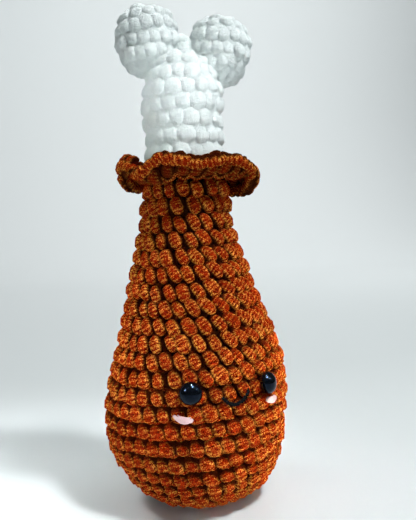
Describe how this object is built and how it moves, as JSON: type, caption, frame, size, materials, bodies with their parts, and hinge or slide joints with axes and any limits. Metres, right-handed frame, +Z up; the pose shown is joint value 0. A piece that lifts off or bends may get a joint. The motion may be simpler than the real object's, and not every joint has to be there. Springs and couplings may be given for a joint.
{
  "type": "crocheted plush drumstick toy",
  "caption": "Stuffed crocheted chenille toy shaped like a cooked chicken drumstick, with a wavy frill, a knobbed white bone and a small face with domed eyes, a smile and cheeks.",
  "frame": {"origin": "centre of the flat spot under the toy that it stands on", "axes": "+Z up the toy from its base to the knobs of the bone; -Y is the way the face looks, and +X is to the right of someone who looks at the face"},
  "size_m": [0.1052, 0.1069, 0.2837],
  "materials": {
    "brown_yarn": "thick chenille yarn, velvety, roast orange-brown",
    "white_yarn": "thick chenille yarn, velvety, white",
    "eye_plastic": "polished black",
    "black_thread": "twisted embroidery thread, black",
    "pink_thread": "satin-stitched embroidery thread, very pale pink"
  },
  "bodies": {
    "root": {"meat": "brown_yarn", "bone": "white_yarn", "eye_left": "eye_plastic", "eye_right": "eye_plastic", "smile": "black_thread", "cheek_left": "pink_thread", "cheek_right": "pink_thread"}
  },
  "joints": []
}
